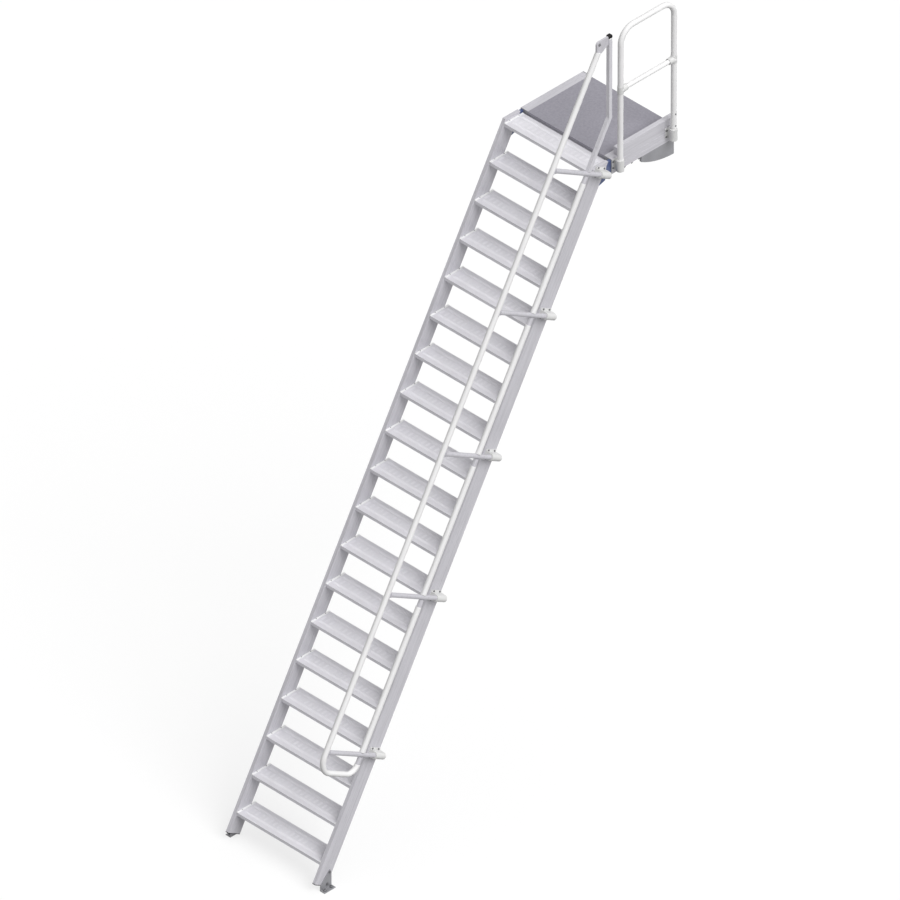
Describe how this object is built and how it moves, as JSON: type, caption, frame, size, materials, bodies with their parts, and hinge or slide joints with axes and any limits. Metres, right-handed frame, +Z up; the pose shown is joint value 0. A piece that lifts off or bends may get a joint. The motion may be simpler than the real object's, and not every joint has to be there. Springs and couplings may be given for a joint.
{
  "type": "platform stair",
  "caption": "Steep straight aluminium stair with deep ribbed treads, one offset handrail and a small guarded platform at its head, fixed to a wall.",
  "frame": {"origin": "middle of the wall face of the platform's rear cross member, on the stair's centre plane", "axes": "+Z up, +Y the climb direction, into the wall, +X across the stair to the right, towards the handrail"},
  "size_m": [0.98, 3.406, 5.7322],
  "materials": {
    "mill_aluminium": "extruded, grooved, dull",
    "tread_aluminium": "ribbed and pierced, dull",
    "bright_aluminium": "smooth, bright",
    "rail_tube": "smooth tube, satin",
    "light_plastic": "moulded, pale",
    "deck_surface": "anti-slip coated board",
    "grey_steel": "grey coated",
    "blue_paint": "blue coated",
    "black_plastic": "moulded, black"
  },
  "bodies": {
    "root": {"arm_clamps": "light_plastic", "beam_end_caps": "grey_steel", "cross_member_front": "mill_aluminium", "cross_member_rear": "mill_aluminium", "deck_panel": "deck_surface", "foot_bracket_left": "grey_steel", "foot_bracket_right": "grey_steel", "guard_clamps": "light_plastic", "guard_hoop": "rail_tube", "guard_mid_rail": "rail_tube", "handrail": "rail_tube", "handrail_arm_1": "mill_aluminium", "handrail_arm_2": "mill_aluminium", "handrail_arm_3": "mill_aluminium", "handrail_arm_4": "mill_aluminium", "handrail_arm_5": "mill_aluminium", "joint_plate_left": "blue_paint", "joint_plate_right": "blue_paint", "lower_rail": "rail_tube", "rail_connector": "mill_aluminium", "rail_sleeves": "mill_aluminium", "side_beam_left": "mill_aluminium", "side_beam_right": "mill_aluminium", "stringer_foot_caps": "black_plastic", "stringer_head_caps": "mill_aluminium", "stringer_left": "mill_aluminium", "stringer_right": "mill_aluminium", "toe_board": "mill_aluminium", "tread_01": "tread_aluminium", "tread_02": "tread_aluminium", "tread_03": "tread_aluminium", "tread_04": "tread_aluminium", "tread_05": "tread_aluminium", "tread_06": "tread_aluminium", "tread_07": "tread_aluminium", "tread_08": "tread_aluminium", "tread_09": "tread_aluminium", "tread_10": "tread_aluminium", "tread_11": "tread_aluminium", "tread_12": "tread_aluminium", "tread_13": "tread_aluminium", "tread_14": "tread_aluminium", "tread_15": "tread_aluminium", "tread_16": "tread_aluminium", "tread_17": "tread_aluminium", "tread_18": "tread_aluminium", "tread_19": "tread_aluminium", "tread_brackets_left": "bright_aluminium", "tread_brackets_right": "bright_aluminium", "upright_cap": "black_plastic", "upright_post": "mill_aluminium", "wall_bracket_left": "grey_steel", "wall_bracket_right": "grey_steel"}
  },
  "joints": []
}
